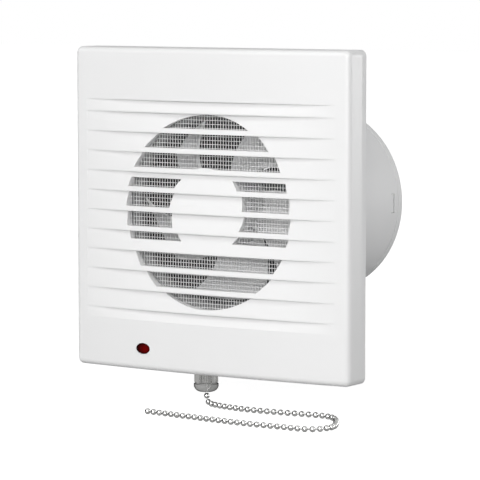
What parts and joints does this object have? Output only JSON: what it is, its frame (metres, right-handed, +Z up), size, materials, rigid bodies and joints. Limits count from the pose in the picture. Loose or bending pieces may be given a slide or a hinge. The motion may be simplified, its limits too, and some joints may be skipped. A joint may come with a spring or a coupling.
{
  "type": "bathroom exhaust fan",
  "caption": "Wall-mounted axial exhaust fan for a round duct: square louvred cover with a slotted round opening, indicator lens and bead-chain pull switch.",
  "frame": {"origin": "centre of the duct spigot on the wall plane, which is the back of the base plate", "axes": "+X to the right seen from the room, +Y into the wall along the duct, +Z up; the front faces -Y"},
  "size_m": [0.1757, 0.1539, 0.1837],
  "materials": {
    "cover_plastic": "moulded, soft gloss",
    "net_plastic": "fine woven net",
    "lens_plastic": "clear dark red, polished",
    "lamp_glass": "clear",
    "housing_plastic": "moulded, fine grain",
    "inner_plastic": "moulded",
    "grommet_rubber": "soft",
    "terminal_plastic": "moulded, slightly clear",
    "contact_brass": "stamped",
    "zinc_steel": "zinc plated",
    "lamination_steel": "stacked sheet, varnished",
    "bobbin_plastic": "moulded",
    "coil_tape": "wound tape",
    "ring_copper": "bare copper",
    "bearing_bronze": "sintered",
    "rotor_aluminium": "die cast",
    "shaft_steel": "ground",
    "impeller_plastic": "moulded",
    "switch_plastic": "moulded",
    "nickel_plate": "polished nickel",
    "lead_plastic": "wire sleeve"
  },
  "bodies": {
    "root": {"front_cover": "cover_plastic", "insect_net": "net_plastic", "net_ring": "cover_plastic", "indicator_lens": "lens_plastic", "indicator_lamp": "lamp_glass", "lamp_holder": "inner_plastic", "housing": "housing_plastic", "cable_grommet": "grommet_rubber", "cable_clamp": "inner_plastic", "clamp_screws": "zinc_steel", "terminal_block": "terminal_plastic", "terminal_tubes": "contact_brass", "terminal_screws": "zinc_steel", "terminal_block_screw": "zinc_steel", "motor_holder": "housing_plastic", "stator_core": "lamination_steel", "coil_bobbin": "bobbin_plastic", "stator_coil": "coil_tape", "shading_rings": "ring_copper", "front_bracket": "zinc_steel", "rear_bracket": "zinc_steel", "front_bearing": "bearing_bronze", "rear_bearing": "bearing_bronze", "thrust_washers": "inner_plastic", "motor_screws": "zinc_steel", "motor_nuts": "zinc_steel", "switch_body": "switch_plastic", "switch_cover": "switch_plastic", "switch_neck": "nickel_plate", "lock_nut": "nickel_plate", "knurled_nut": "nickel_plate", "chain_bell": "nickel_plate", "return_spring": "shaft_steel", "ratchet_pin": "shaft_steel", "feed_contact": "contact_brass", "load_contact": "contact_brass", "switch_lead": "lead_plastic"},
    "rotor": {"rotor": "rotor_aluminium", "motor_shaft": "shaft_steel", "impeller": "impeller_plastic", "impeller_clip": "zinc_steel"},
    "pull": {"pull_rod": "shaft_steel", "bead_chain": "nickel_plate"},
    "ratchet": {"ratchet_wheel": "inner_plastic"}
  },
  "joints": [
    {"name": "impeller_spin", "type": "hinge", "parent": "root", "child": "rotor", "pos_m": [0, 0, 0], "axis": [0, 1, 0], "continuous": true},
    {"name": "chain_pull", "type": "slide", "parent": "root", "child": "pull", "axis": [0, 0, -1], "range_m": [0, 0.005], "stiffness_N_per_m": 1200, "springref_m": -0.005, "deforming": ["return_spring"]},
    {"name": "ratchet_turn", "type": "hinge", "parent": "root", "child": "ratchet", "pos_m": [0.0006, -0.0092, -0.0617], "axis": [0, -1, 0], "range_deg": [0, 90]}
  ],
  "couplings": [
    {"joint": "ratchet_turn", "follows": "chain_pull", "rad_per_m": 314}
  ]
}
